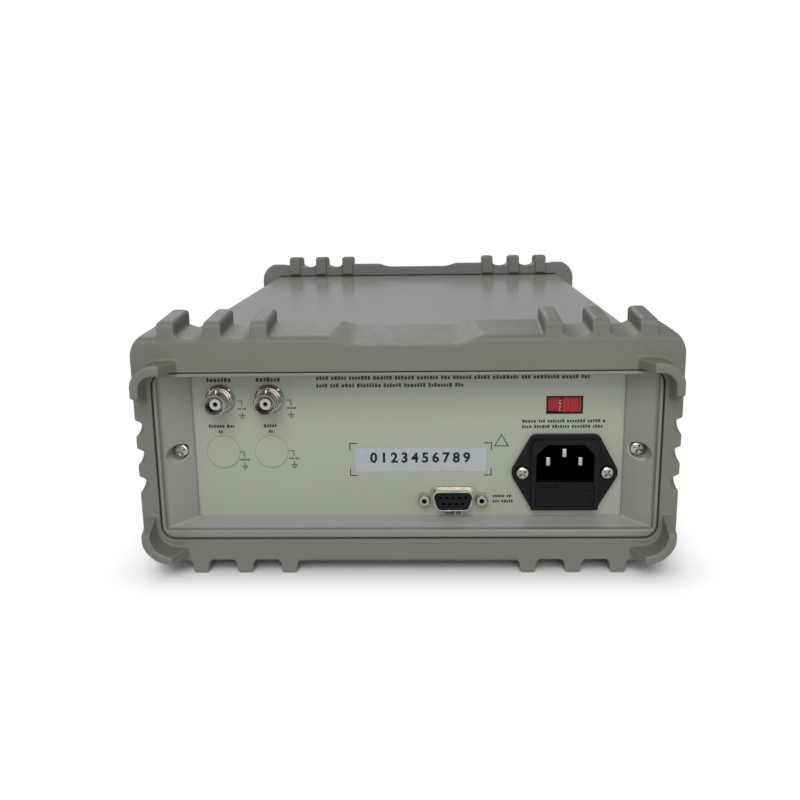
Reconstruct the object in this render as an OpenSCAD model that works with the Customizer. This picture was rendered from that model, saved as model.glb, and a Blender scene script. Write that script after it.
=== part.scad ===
// Bench function generator in a half-rack case.
// Frame: +Z up, the instrument's front faces -Y, its connector panel faces +Y,
// origin on the bench under the middle of the case (feet stand on z = 0).

/* [Case] */
// Overall width across the two end guards
case_w = 225; // [221:1:230]
// Overall depth between the tips of the corner hooks
case_d = 375; // [350:1:400]
// Overall height from the feet to the top ribs
case_h = 110; // [109:0.5:112]
// Depth of one end guard from its outer face to its inner edge
guard_len = 26; // [25:0.5:27]
// How far the corner hooks stand out from a guard's outer face
hook_len = 12; // [8:0.5:16]
// Wall thickness of the corner hooks
hook_t = 4.2; // [3.4:0.1:4.6]

/* [Ribs and feet] */
// Distance between neighbouring ribs or feet
rib_pitch = 19; // [18.4:0.1:19.4]
// Middle of the innermost top rib on the rear guard
rear_rib_x = 59.3; // [58.6:0.1:59.8]
// Middle of the innermost foot on the rear guard
rear_foot_x = 50.8; // [50:0.1:51.6]
// Thickness of a top rib
rib_w = 7.2; // [6:0.1:8]
// Thickness of a foot
foot_w = 6.6; // [6:0.1:8]
// Upward tilt of the top ribs towards the middle of the case, degrees
rib_tilt = 4; // [3:0.5:5]

/* [Panels] */
// How far the rear panel lies behind the guard's outer face
rear_recess = 19.8; // [18.5:0.1:20.5]
// How far the front panel lies behind the guard's outer face
front_recess = 14; // [13:0.1:15]
// Half the visible width of the rear panel
panel_hw = 92.8; // [92:0.1:93]
// Height of the panel's centre line of bezel screws
bezel_screw_z = 50.3; // [46:0.1:54]
// Distance of a bezel screw from the middle plane
bezel_screw_x = 98.1; // [97.8:0.1:98.4]

/* [Connectors] */
// Height of the rear coaxial sockets
bnc_z = 72; // [70:0.1:73]
// Distance of the outer rear coaxial socket from the middle plane
bnc_x1 = 80.6; // [79:0.1:82]
// Distance of the inner rear coaxial socket from the middle plane
bnc_x2 = 59.4; // [58:0.1:61]
// Outer radius of a coaxial socket's barrel
bnc_r = 4.8; // [4.75:0.01:4.85]
// Distance between the serial port's two jack screws
de9_pitch = 25; // [24.9:0.1:25.1]
// Distance of the mains inlet from the middle plane
inlet_x = 67.7; // [66:0.1:69]
// Distance between the mains inlet's two fixing screws
inlet_pitch = 36.4; // [36:0.1:36.8]

/* [Controls] */
// Diameter of the rotary knob
knob_d = 32; // [26:0.5:34]
// Travel of the keys
key_travel = 1; // [0.5:0.1:1]
// Travel of the power button
power_travel = 3.5; // [2:0.5:4]
// Width of a number key
key_w = 11; // [9:0.5:11.5]
// Height of a number key
key_h = 8.5; // [7:0.5:9]
// Travel of the voltage selector's slider
volt_travel = 6.2; // [5:0.1:6.2]

/* [Hidden] */
$fn = 48;

face_y = case_d / 2 - hook_len;            // outer face of a guard
rp_y = face_y - rear_recess;               // rear panel, outer face
fp_y = -(face_y - front_recess);           // front panel, outer face
panel_t = 1.6;                             // sheet of both panels
bez_back = face_y - 22.2;                  // back of both bezels
cov_y = bez_back - 0.4;                    // half the covers' length
open_hw = case_w / 2 - 7.5;                // half width of a guard's opening
open_z0 = 15;
open_z1 = 87.3;
cov_hw = 101.5;                            // half width of the top cover
cov_z1 = 96.2;                             // top of the top cover
cov_z0 = 9.2;                              // underside of the bottom cover
sheet = 1;                                 // cover sheet
front_rib_x = rear_foot_x;                 // the front guard's ribs and feet are offset
front_foot_x = rear_rib_x;                 // so that stacked units nest
foot_root = 5.6;
eps = 0.01;

// key positions on the front panel
key_px = [8, 22, 36];
key_pz = [75.5, 62.5, 49.5, 36.5];
soft_px = [-80, -64, -48, -32, -16];
soft_pz = 39;
soft_w = 12;
soft_h = 7;
knob_x = 68;
knob_z = 60;
power_x = -80;
power_z = 26;
bncs = [[bnc_x1, bnc_z], [bnc_x2, bnc_z]];  // rear sockets
fbncs = [[56, 28], [80, 28]];               // front sockets
de9_x = -19.4;
de9_z = 27;
volt_x = -67.2;
volt_z = 68.5;
inlet_z = 39;
plugs = [[80.5, 48.5], [59.4, 48.5]];

// ---------- helpers ----------
module rrect(w, h, r) {           // rounded rectangle about the origin
  square([w - 2 * r, h], center = true);
  square([w, h - 2 * r], center = true);
  for (sx = [-1, 1], sy = [-1, 1]) translate([sx * (w / 2 - r), sy * (h / 2 - r)]) circle(r);
}
module xz(y0, y1) { translate([0, y1, 0]) rotate([90, 0, 0]) linear_extrude(y1 - y0) children(); }
module yz(x0, x1) { translate([x0, 0, 0]) rotate([90, 0, 90]) linear_extrude(x1 - x0) children(); }
module ycyl(x, z, r, y0, y1, f = 48) { translate([x, y1, z]) rotate([90, 0, 0]) cylinder(h = y1 - y0, r = r, $fn = f); }
module box2(p, q) { translate(p) cube([q[0] - p[0], q[1] - p[1], q[2] - p[2]]); }
module at_rear() { translate([0, face_y, 0]) children(); }
module at_front() { mirror([0, 1, 0]) at_rear() children(); }
module hexo(af) { circle(d = af / cos(30), $fn = 6); }

// ---------- end guards (local frame: y = 0 on the outer face, case towards -y) ----------
module dip_profile(hw, h, top) {  // shallow dip with S-shaped flanks
  n = 12;
  run = 15.6;
  polygon(concat(
    [for (i = [0 : n]) [-hw - run + run * i / n, h * (1 + cos(180 * i / n)) / 2]],
    [for (i = [0 : n]) [hw + run * i / n, h * (1 - cos(180 * i / n)) / 2]],
    [[hw + run + 2, top], [-hw - run - 2, top]]));
}
module rib_row(c0, face_top) {    // ribs seen from the end, z measured at the outer face
  for (s = [-1, 1], i = [0 : 2]) translate([s * (c0 + i * rib_pitch), 0]) {
    translate([-rib_w / 2, 92]) square([rib_w, face_top - 92 - 1.8]);
    translate([-rib_w / 2 + 1.8, 92]) square([rib_w - 3.6, face_top - 92]);
    for (e = [-1, 1]) translate([e * (rib_w / 2 - 1.8), face_top - 1.8]) circle(1.8);
  }
}
module tilted(z, a) { translate([0, 0, z]) rotate([-a, 0, 0]) translate([0, 0, -z]) children(); }
module hook_outline(x, rt, xt, rb, xb, zt, zb) {  // right half, as a rounded box with unlike corners
  square([x, 0.01]);
  translate([0, zb]) square([xb, 50 - zb]);
  translate([0, 50]) square([xt, zt - 50]);
  translate([0, zb + rb]) square([x, zt - rt - zb - rb]);
  translate([xt, zt - rt]) circle(rt);
  translate([xb, zb + rb]) circle(rb);
}
module hooks() {
  hx = case_w / 2 - 2.5;
  for (sx = [0, 1]) mirror([sx, 0, 0]) {
    intersection() {
      xz(-1, hook_len) difference() {
        intersection() {
          hook_outline(hx, 10, hx - 9.7, 12, hx - 11.6, 92.2, 8.2);
          translate([0, 1]) square([hx, 100]);
        }
        hook_outline(hx - hook_t + 0.8, 5.9, hx - hook_t + 0.8 - 5.9, 8.6, hx - hook_t + 0.8 - 8.6, 92.2 - hook_t, 7.6 + hook_t);
      }
      linear_extrude(130) polygon([[case_w / 2 - 19.5, -1], [case_w / 2 - 14.5, hook_len], [case_w / 2, hook_len], [case_w / 2, -1]]);
      union() {
        yz(-120, 120) polygon([[-1, 74.7], [hook_len, 79], [hook_len, 110], [-1, 110]]);
        yz(-120, 120) polygon([[-1, 26.4], [hook_len, 21.2], [hook_len, 0], [-1, 0]]);
      }
    }
  }
}
module guard(rib_c, foot_c) {
  ft = case_h - (guard_len + 0.6) * tan(rib_tilt);       // rib height at the outer face
  difference() {
    union() {
      // body of the frame
      intersection() {
        xz(-guard_len, 0) translate([0, 54]) rrect(case_w, 102.4, 12);
        yz(-case_w, case_w) polygon([[-guard_len, 3], [-guard_len + 0.8, 2.8], [-2.2, 4.6], [0, 6], [0, 99.9],
          [-0.9, 101.1], [-2.6, 101.9], [-guard_len + 1.2, 104.8], [-guard_len, 104.2]]);
      }
      // raised ground between the ribs, hollowed below
      intersection() {
        for (s = [-1, 1]) tilted(101, rib_tilt) xz(-guard_len - 1, -0.2)
          translate([s * (rib_c + rib_pitch) - rib_pitch - 1, 92]) square([2 * rib_pitch + 2, 11.2]);
        box2([-case_w, -guard_len, 90], [case_w, 1, 120]);
      }
      // feet
      for (s = [-1, 1], i = [0 : 2]) xz(-guard_len, 0) translate([s * (foot_c + i * rib_pitch), 0]) {
        polygon([[-foot_w / 2 + 0.7, 0], [foot_w / 2 - 0.7, 0], [foot_w / 2, 0.7], [foot_w / 2 + 0.2, foot_root - 1.4],
          [foot_w / 2 + 1.1, foot_root], [foot_w / 2 + 1.1, 9], [-foot_w / 2 - 1.1, 9], [-foot_w / 2 - 1.1, foot_root],
          [-foot_w / 2 - 0.2, foot_root - 1.4], [-foot_w / 2, 0.7]]);
      }
      hooks();
    }
    // scooped valleys between the ribs
    for (s = [-1, 1], i = [0.5, 1.5]) tilted(101, rib_tilt) intersection() {
      ycyl(s * (rib_c + i * rib_pitch), 100.7 + 11.4, 11.4, -guard_len - 2, 2, 96);
      box2([s * (rib_c + i * rib_pitch) - (rib_pitch - rib_w) / 2, -guard_len - 2, 90],
           [s * (rib_c + i * rib_pitch) + (rib_pitch - rib_w) / 2, 2, 116]);
    }
    // crease between the outer rib and the corner
    for (s = [-1, 1]) tilted(101, rib_tilt) ycyl(s * (rib_c + 2 * rib_pitch + rib_w / 2 + 1.9), 104.6, 2.4, -guard_len - 2, 2);
    // dip across the middle of the top
    tilted(98, 10.5) xz(-guard_len - 2, 2) translate([0, 98]) dip_profile(18.6, 3.5, 14);
    // hollows between the feet
    for (s = [-1, 1], i = [0.5, 1.5]) xz(-guard_len - 1, 1) translate([s * (foot_c + i * rib_pitch), 1.8])
      rrect(rib_pitch - foot_w - 0.9, 2 * (foot_root - 1.6), 2.2);
    // finger scallops on both sides
    for (s = [-1, 1], i = [0 : 2]) translate([s * (case_w / 2 - 0.2), 0, 39.7 + 12.1 * i])
      rotate([0, 0, s * 21]) rotate([90, 0, 0]) cylinder(h = 2 * guard_len + 8, r = 3.3, center = true);
    // opening for the bezel, and pocket for the covers
    xz(-guard_len - 1, 1) translate([0, (open_z0 + open_z1) / 2]) rrect(2 * open_hw, open_z1 - open_z0, 6);
    xz(-guard_len - 4, -22.6) translate([0, (cov_z0 + cov_z1) / 2]) rrect(2 * cov_hw + 0.4, cov_z1 - cov_z0 + 0.4, 3);
  }
  // ribs along the top
  difference() {
    intersection() {
      tilted(ft, rib_tilt) xz(-guard_len - 3.4, 0.2) rib_row(rib_c, ft);
      yz(-case_w, case_w) polygon([[-guard_len, 95], [-guard_len, 97.6], [-guard_len - 2.2, 97.6], [-guard_len - 2.2, case_h - 1.2], [-guard_len - 0.6, case_h], [-4, case_h],
        [-2.4, ft + 0.2], [-0.8, ft - 0.6], [0, ft - 2], [0, 95]]);
    }
    xz(-guard_len - 4, -22.6) translate([0, (cov_z0 + cov_z1) / 2]) rrect(2 * cov_hw + 0.4, cov_z1 - cov_z0 + 0.4, 3);
  }
  // ledges behind the bezel's sides, clamped when the bezel is screwed home
  for (s = [-1, 1]) difference() {
    box2([s > 0 ? cov_hw + 0.2 : -open_hw - 1, -guard_len, 24], [s > 0 ? open_hw + 1 : -cov_hw - 0.2, -22.2, 80]);
  }
}
module rear_guard() color([0.47, 0.49, 0.45]) at_rear() guard(rear_rib_x, rear_foot_x);
module front_guard() color([0.47, 0.49, 0.45]) at_front() guard(front_rib_x, front_foot_x);

// ---------- bezels ----------
module bezel(recess, hw, floor_d) {
  mouth = open_hw - 2;
  difference() {
    xz(-22.2, -1) translate([0, (open_z0 + open_z1) / 2]) rrect(2 * open_hw - 0.9, open_z1 - open_z0 - 0.9, 5.5);
    // funnel down to the panel
    translate([0, 0, 19]) linear_extrude(66.2) polygon([[-mouth, 2], [mouth, 2], [mouth, -3.4], [hw, -recess + 1.5], [hw, -24], [-hw, -24],
      [-hw, -recess + 1.5], [-mouth, -3.4]]);
    // rebate for the panel sheet
    box2([-hw - 1.8, -24, 17], [hw + 1.8, -recess, 86.6]);
    // counterbored screw holes
    for (s = [-1, 1]) {
      ycyl(s * bezel_screw_x, bezel_screw_z, 3.7, -floor_d, 1);
      ycyl(s * bezel_screw_x, bezel_screw_z, 1.7, -24, 1);
    }
  }
}
rear_floor = rear_recess - 2.9;
front_floor = front_recess - 1.1;
front_hw = 93.6;                           // half the visible width of the front panel
module rear_bezel() color([0.50, 0.51, 0.53]) at_rear() bezel(rear_recess, panel_hw, rear_floor);
module front_bezel() color([0.50, 0.51, 0.53]) at_front() bezel(front_recess, front_hw, front_floor);

// ---------- covers and rails ----------
module vents(n, pitch, w, h) { for (i = [0 : n - 1]) translate([(i - (n - 1) / 2) * pitch, 0]) rrect(w, h, w / 2 - eps); }
module top_cover() color([0.62, 0.63, 0.63]) difference() {
  xz(-cov_y, cov_y) difference() {
    translate([0, (cov_z1 + cov_z0) / 2]) rrect(2 * cov_hw, cov_z1 - cov_z0, 2.6);
    translate([0, (cov_z1 + cov_z0) / 2]) rrect(2 * (cov_hw - sheet), cov_z1 - cov_z0 - 2 * sheet, 1.6);
    translate([-cov_hw + sheet, 0]) square([2 * (cov_hw - sheet), cov_z0 + 4]);
    translate([-cov_hw - 1, 0]) square([2 * cov_hw + 2, cov_z0 + 3.2]);
  }
  // ventilation slots in both sides
  for (py = [-70, 85]) yz(-cov_hw - 5, cov_hw + 5) translate([py, 58]) vents(9, 7, 3, 30);
  // fixing holes
  for (s = [-1, 1], py = [-120, 120]) translate([s * cov_hw, py, 24]) rotate([0, 90, 0]) cylinder(h = 10, r = 1.7, center = true);
}
module bottom_cover() color([0.60, 0.61, 0.61]) difference() {
  xz(-cov_y, cov_y) translate([0, cov_z0 + 1.6]) difference() {
    rrect(2 * (cov_hw - sheet) - 0.2, 3.2, 1.1);
    translate([0, 1]) square([2 * (cov_hw - sheet) - 2.2, 3.2], center = true);
  }
  for (px = [-45, 45], py = [-60, 70]) translate([px, py, 0]) linear_extrude(20) rotate(90) vents(8, 7, 3, 44);
  for (s = [-1, 1], py = [-125, 125]) translate([s * 93, py, 0]) cylinder(h = 20, r = 1.7);
  for (p = board_holes) translate([p[0], p[1], 0]) cylinder(h = 20, r = 1.7);
}
rail_z0 = cov_z0 + sheet + 0.1;
rail_z1 = cov_z1 - sheet - 0.1;
rail_hw = cov_hw - sheet - 0.1;
module side_rails() color([0.66, 0.67, 0.68]) for (s = [-1, 1]) mirror([s < 0 ? 1 : 0, 0, 0]) difference() {
  union() {
    difference() {
      box2([87, -cov_y + 0.2, rail_z0], [rail_hw - 1.1, cov_y - 0.2, rail_z1]);
      box2([80, -cov_y, rail_z0 + 1.5], [rail_hw - 2.6, cov_y, rail_z1 - 1.5]);
    }
    for (e = [-1, 1]) box2([92, e > 0 ? cov_y - 14 : -cov_y + 0.2, bezel_screw_z - 6], [rail_hw, e > 0 ? cov_y - 0.2 : -cov_y + 14, bezel_screw_z + 6]);
  }
  for (e = [-1, 1]) ycyl(bezel_screw_x, bezel_screw_z, 1.5, e > 0 ? cov_y - 13 : -cov_y - 1, e > 0 ? cov_y + 1 : -cov_y + 13);
  for (py = [-120, 120]) translate([rail_hw, py, 24]) rotate([0, 90, 0]) cylinder(h = 12, r = 1.5, center = true);
  for (py = [-125, 125]) translate([93, py, rail_z0]) cylinder(h = 6, r = 1.5, center = true);
  // openings behind the ventilation slots
  for (py = [-70, 85]) box2([90, py - 32, 40], [110, py + 32, 76]);
}

// ---------- panels ----------
module rear_panel() color([0.70, 0.72, 0.64]) difference() {
  xz(rp_y - panel_t, rp_y) translate([0, 51.8]) rrect(2 * panel_hw + 3, 69, 1.5);
  for (p = bncs) ycyl(p[0], p[1], 4.85, rp_y - 5, rp_y + 5);
  for (p = plugs) ycyl(p[0], p[1], 6, rp_y - 5, rp_y + 5);
  xz(rp_y - 5, rp_y + 5) translate([volt_x, volt_z]) square([15.6, 7.8], center = true);
  xz(rp_y - 5, rp_y + 5) translate([-inlet_x, inlet_z]) square([27.4, 31.6], center = true);
  for (s = [-1, 1]) ycyl(-inlet_x + s * inlet_pitch / 2, inlet_z, 1.7, rp_y - 5, rp_y + 5);
  xz(rp_y - 5, rp_y + 5) translate([de9_x, de9_z]) square([19.6, 10.8], center = true);
  for (s = [-1, 1]) ycyl(de9_x + s * de9_pitch / 2, de9_z, 1.6, rp_y - 5, rp_y + 5);
}
module front_panel() color([0.72, 0.73, 0.70]) difference() {
  xz(fp_y, fp_y + panel_t) translate([0, 51.8]) rrect(2 * front_hw + 3, 69, 1.5);
  xz(fp_y - 5, fp_y + 5) translate([-48, 63]) rrect(80.4, 32.4, 1.6);
  for (x = soft_px) xz(fp_y - 5, fp_y + 5) translate([x, soft_pz]) rrect(soft_w + 0.5, soft_h + 0.5, 1.2);
  for (x = key_px, z = key_pz) xz(fp_y - 5, fp_y + 5) translate([x, z]) rrect(key_w + 0.5, key_h + 0.5, 1.4);
  xz(fp_y - 5, fp_y + 5) translate([power_x, power_z]) rrect(14.5, 9.5, 2);
  ycyl(knob_x, knob_z, 3.7, fp_y - 5, fp_y + 5);
  for (p = fbncs) ycyl(p[0], p[1], 4.85, fp_y - 5, fp_y + 5);
}
module serial_label() color([0.72, 0.76, 0.78]) xz(rp_y, rp_y + 0.15) translate([-5.45, 44.5]) rrect(57.1, 10.8, 0.6);

// ---------- display ----------
module display_window() color([0.15, 0.2, 0.25, 0.6]) xz(fp_y - 0.2, fp_y + panel_t) translate([-48, 63]) rrect(80, 32, 1.4);
module display_module() color([0.12, 0.18, 0.3]) difference() {
  xz(fp_y + panel_t + 0.1, fp_y + panel_t + 7.4) translate([-48, 63]) square([86, 37], center = true);
  xz(fp_y, fp_y + panel_t + 1.1) translate([-48, 63]) square([76, 28], center = true);
}

// ---------- coaxial sockets (local frame: z out of the panel, z = 0 on its outer face) ----------
module bnc_body() {
  difference() {
    union() {
      rotate_extrude($fn = 64) polygon([[0, -16], [3.2, -16], [3.2, -9], [5.6, -9], [5.6, -panel_t - 2.4], [7, -panel_t - 2.4],
        [7, -panel_t], [bnc_r - 0.2, -panel_t], [bnc_r - 0.2, 9.4], [bnc_r, 9.4], [bnc_r, 12.9], [bnc_r - 0.35, 13.3], [0, 13.3]]);
      for (s = [-1, 1]) translate([0, 0, 7.9]) rotate([s * 90, 0, 0]) cylinder(h = 5.7, r = 1, $fn = 24);
    }
    translate([0, 0, 1]) cylinder(h = 20, r = 4.1);
    translate([0, 0, -20]) cylinder(h = 40, r = 2.4);
  }
}
module bnc_ins() difference() {
  union() {
    translate([0, 0, -16.5]) cylinder(h = 17.5, r = 2.4);
    translate([0, 0, 1]) cylinder(h = 7, r = 3.2);
    translate([0, 0, 8]) cylinder(h = 3, r = 2.4);
  }
  translate([0, 0, -20]) cylinder(h = 40, r = 1.05, $fn = 24);
}
module bnc_pin() difference() {
  translate([0, 0, -19]) cylinder(h = 29.6, r = 1.05, $fn = 24);
  translate([0, 0, 5]) cylinder(h = 10, r = 0.68, $fn = 24);
}
module bnc_nut() difference() {
  rotate_extrude($fn = 64) polygon([[0, 0], [6.4, 0], [6.4, 1.3], [6.1, 1.8], [5.7, 2.0], [5.4, 3.0], [0, 3.0]]);
  translate([0, 0, -1]) cylinder(h = 10, r = 4.7);
  // spanner slots
  for (a = [0, 90]) rotate(a + 45) translate([-8, -0.5, 1.5]) cube([2.4, 1, 3]);
}
module each_bnc() {
  for (p = bncs) translate([p[0], rp_y, p[1]]) rotate([-90, 0, 0]) children();
  for (p = fbncs) translate([p[0], fp_y, p[1]]) rotate([90, 0, 0]) children();
}
module bnc_bodies() color([0.72, 0.71, 0.68]) each_bnc() bnc_body();
module bnc_insulators() color([0.92, 0.92, 0.9]) each_bnc() bnc_ins();
module bnc_contacts() color([0.8, 0.66, 0.35]) each_bnc() bnc_pin();
module bnc_nuts() color([0.68, 0.67, 0.64]) each_bnc() bnc_nut();
module hole_plugs() color([0.72, 0.73, 0.65]) for (p = plugs) {
  ycyl(p[0], p[1], 7.2, rp_y, rp_y + 0.7, 64);
  difference() {
    ycyl(p[0], p[1], 5.9, rp_y - 4, rp_y);
    ycyl(p[0], p[1], 4.7, rp_y - 5, rp_y);
  }
}

// ---------- voltage selector ----------
module voltage_selector() color([0.06, 0.06, 0.07]) difference() {
  union() {
    box2([volt_x - 7.7, rp_y - panel_t - 1, volt_z - 3.8], [volt_x + 7.7, rp_y + 0.3, volt_z + 3.8]);
    box2([volt_x - 14, rp_y - 15, volt_z - 6.5], [volt_x + 14, rp_y - panel_t, volt_z + 6.5]);
  }
  box2([volt_x - 7.2, rp_y - 3, volt_z - 3.3], [volt_x + 7.2, rp_y + 1, volt_z + 3.3]);
  // guide behind the window for the slider's plate
  box2([volt_x - 13.2, rp_y - 4.2, volt_z - 4.2], [volt_x + 13.2, rp_y - 2.6, volt_z + 4.2]);
}
module voltage_slider() color([0.75, 0.08, 0.06]) difference() {
  union() {
    box2([volt_x - 13.1, rp_y - 4.1, volt_z - 4.1], [volt_x + 13.1 - volt_travel, rp_y - 2.7, volt_z + 4.1]);
    box2([volt_x - 7.1, rp_y - 3, volt_z - 3.2], [volt_x + 7.1 - volt_travel, rp_y - 0.5, volt_z + 3.2]);
    for (i = [0 : 2]) box2([volt_x - 7.1 + i * 3.3, rp_y - 1, volt_z - 3.2], [volt_x - 7.1 + i * 3.3 + 1.2, rp_y, volt_z + 3.2]);
  }
}

// ---------- mains inlet (local x about its own middle) ----------
module inlet_cavity(g) polygon([[-12.4 - g, -8.2 - g], [12.4 + g, -8.2 - g], [12.4 + g, 4 + g / 2], [8 + g / 2, 8.4 + g], [-8 - g / 2, 8.4 + g], [-12.4 - g, 4 + g / 2]]);
module inlet_body() color([0.05, 0.05, 0.06]) difference() {
  union() {
    xz(rp_y, rp_y + 2.6) translate([-inlet_x, inlet_z])
      polygon([[-22.7, 1.2], [-22.2, 2.4], [-15, 15.6], [-14, 16.6], [-12.6, 16.9], [12.6, 16.9], [14, 16.6], [15, 15.6], [22.2, 2.4], [22.7, 1.2],
        [22.7, -1.2], [22.2, -2.4], [14.4, -15.8], [13.2, -16.8], [12, -17.1], [-12, -17.1], [-13.2, -16.8], [-14.4, -15.8], [-22.2, -2.4], [-22.7, -1.2]]);
    xz(rp_y + 2.6, rp_y + 4.2) translate([-inlet_x, inlet_z - 0.4])
      polygon([[-14.6, -15.6], [-14, -16.2], [14, -16.2], [14.6, -15.6], [14.6, 13], [12.8, 15.4], [-12.8, 15.4], [-14.6, 13]]);
    xz(rp_y - 18, rp_y + 1) translate([-inlet_x, inlet_z]) square([27, 31.2], center = true);
  }
  xz(rp_y - 12.2, rp_y + 5) translate([-inlet_x, inlet_z + 4.4]) inlet_cavity(0);
  // drawer chute
  box2([-inlet_x - 12.6, rp_y - 14.6, inlet_z - 14.9], [-inlet_x + 12.6, rp_y + 5, inlet_z - 5.0]);
  // fixing holes
  for (s = [-1, 1]) ycyl(-inlet_x + s * inlet_pitch / 2, inlet_z, 1.7, rp_y - 5, rp_y + 5);
  for (s = [-1, 1]) ycyl(-inlet_x + s * inlet_pitch / 2, inlet_z, 3.3, rp_y + 1.9, rp_y + 5);
  // slots for the three blades
  for (p = inlet_blades) box2([-inlet_x + p[0] - 1, rp_y - 20, p[1] - 2], [-inlet_x + p[0] + 1, rp_y - 5, p[1] + 2]);
}
inlet_blades = [[-7, 43.3], [0, 47.2], [7, 43.3]];
module inlet_pins() color([0.78, 0.76, 0.7]) for (p = inlet_blades) {
  box2([-inlet_x + p[0] - 1, rp_y - 25, p[1] - 2], [-inlet_x + p[0] + 1, rp_y + 0.2, p[1] + 2]);
}
module fuse_drawer() color([0.07, 0.07, 0.08]) difference() {
  union() {
    box2([-inlet_x - 12.45, rp_y - 14.4, inlet_z - 14.75], [-inlet_x + 12.45, rp_y + 2.8, inlet_z - 5.15]);
    box2([-inlet_x - 12.45, rp_y + 2.6, inlet_z - 14.75], [-inlet_x + 12.45, rp_y + 4.1, inlet_z - 5.15]);
  }
  // pockets for the live fuse and the spare
  for (y = [-10.4, -3.6]) box2([-inlet_x - 10.25, rp_y + y - 2.75, inlet_z - 12.7], [-inlet_x + 10.25, rp_y + y + 2.75, inlet_z]);
  // finger notch and moulded lines
  box2([-inlet_x + 3, rp_y + 3.1, inlet_z - 6.4], [-inlet_x + 10.5, rp_y + 5, inlet_z - 5]);
  box2([-inlet_x - 11.2, rp_y + 3.7, inlet_z - 13.7], [-inlet_x + 11.2, rp_y + 5, inlet_z - 7.4]);
}
module fuses() for (y = [-10.4, -3.6]) translate([-inlet_x, rp_y + y, inlet_z - 9.9]) rotate([0, 90, 0]) {
  color([0.85, 0.88, 0.88]) cylinder(h = 20, r = 2.4, center = true, $fn = 32);
  color([0.75, 0.74, 0.7]) for (s = [-1, 1]) translate([0, 0, s * 7.6]) cylinder(h = 4.8, r = 2.6, center = true, $fn = 32);
}

// ---------- serial port ----------
module d_shape(w, h) hull() {
  for (s = [-1, 1]) {
    translate([s * (w / 2 - 2.2), h / 2 - 2.2]) circle(2.2, $fn = 24);
    translate([s * (w / 2 - 2.2 - 1.1), -h / 2 + 2.2]) circle(2.2, $fn = 24);
  }
}
module de9_shell() color([0.72, 0.71, 0.67]) difference() {
  union() {
    xz(rp_y - panel_t - 0.8, rp_y - panel_t) translate([de9_x, de9_z]) square([30.8, 12.5], center = true);
    xz(rp_y - panel_t - 0.4, rp_y + 5.4) translate([de9_x, de9_z]) d_shape(17.4, 8.9);
    xz(rp_y, rp_y + 1.2) translate([de9_x, de9_z]) d_shape(18.8, 10.3);
  }
  xz(rp_y - 10, rp_y + 10) translate([de9_x, de9_z]) d_shape(16.4, 7.9);
  for (s = [-1, 1]) ycyl(de9_x + s * de9_pitch / 2, de9_z, 1.6, rp_y - 10, rp_y + 5);
}
module de9_insulator() color([0.08, 0.08, 0.09]) difference() {
  union() {
    xz(rp_y - panel_t - 0.8, rp_y + 4.9) translate([de9_x, de9_z]) d_shape(16.2, 7.7);
    xz(rp_y - 11.5, rp_y - panel_t - 0.8) translate([de9_x, de9_z]) square([18, 10], center = true);
  }
  for (i = [0 : 4]) ycyl(de9_x + (i - 2) * 2.77, de9_z + 1.42, 0.6, rp_y - 2, rp_y + 6, 16);
  for (i = [0 : 3]) ycyl(de9_x + (i - 1.5) * 2.77, de9_z - 1.42, 0.6, rp_y - 2, rp_y + 6, 16);
}
module de9_jackscrews() color([0.75, 0.74, 0.7]) for (s = [-1, 1]) translate([de9_x + s * de9_pitch / 2, rp_y, de9_z]) rotate([-90, 0, 0]) difference() {
  union() {
    intersection() {
      linear_extrude(5) hexo(4.8);
      rotate_extrude($fn = 48) polygon([[0, 0], [2.8, 0], [2.8, 4.2], [2.1, 5], [0, 5]]);
    }
    translate([0, 0, -7]) cylinder(h = 7.5, r = 1.4);
  }
  translate([0, 0, -2.5]) cylinder(h = 10, r = 1.1);
}

// ---------- fasteners (local frame: z out along the screw, z = 0 under the head) ----------
module pan_screw(len, hr = 2.9, hh = 1.9, r = 1.45) difference() {
  union() {
    translate([0, 0, -len]) cylinder(h = len + 0.2, r = r, $fn = 32);
    rotate_extrude($fn = 48) polygon([[0, 0], [hr, 0], [hr, hh * 0.45], [hr * 0.88, hh * 0.8], [hr * 0.62, hh], [0, hh]]);
  }
  for (a = [0, 90]) rotate(a) translate([-hr * 0.6, -0.4, hh * 0.35]) cube([hr * 1.2, 0.8, 3]);
}
module panel_screws() color([0.76, 0.74, 0.7]) {
  for (s = [-1, 1]) translate([s * bezel_screw_x, face_y - rear_floor, bezel_screw_z]) rotate([-90, 0, 0]) rotate(s * 23) pan_screw(28.6 - rear_floor, 3.3, 2.1);
  for (s = [-1, 1]) translate([s * bezel_screw_x, -face_y + front_floor, bezel_screw_z]) rotate([90, 0, 0]) rotate(s * 31) pan_screw(30.8 - front_floor, 3.3, 2.1);
  for (s = [-1, 1]) translate([-inlet_x + s * inlet_pitch / 2, rp_y + 1.9, inlet_z]) rotate([-90, 0, 0]) rotate(s * 38) pan_screw(8.5);
}
board_holes = [[-28, -115], [-28, 130], [82, -115], [82, 130], [-28, 10], [82, 10]];
pcb_z = 20.4;
module case_screws() color([0.55, 0.55, 0.55]) {
  for (s = [-1, 1], py = [-120, 120]) translate([s * cov_hw, py, 24]) rotate([0, s * 90, 0]) rotate(20) pan_screw(5, 2.7, 1.7);
  for (s = [-1, 1], py = [-125, 125]) translate([s * 93, py, cov_z0]) rotate([180, 0, 0]) rotate(20) pan_screw(4.5, 2.7, 1.7);
  for (p = board_holes) {
    translate([p[0], p[1], pcb_z + 1.6]) rotate(15) pan_screw(5, 2.7, 1.7);
    translate([p[0], p[1], cov_z0]) rotate([180, 0, 0]) rotate(15) pan_screw(5, 2.7, 1.7);
  }
}
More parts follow.
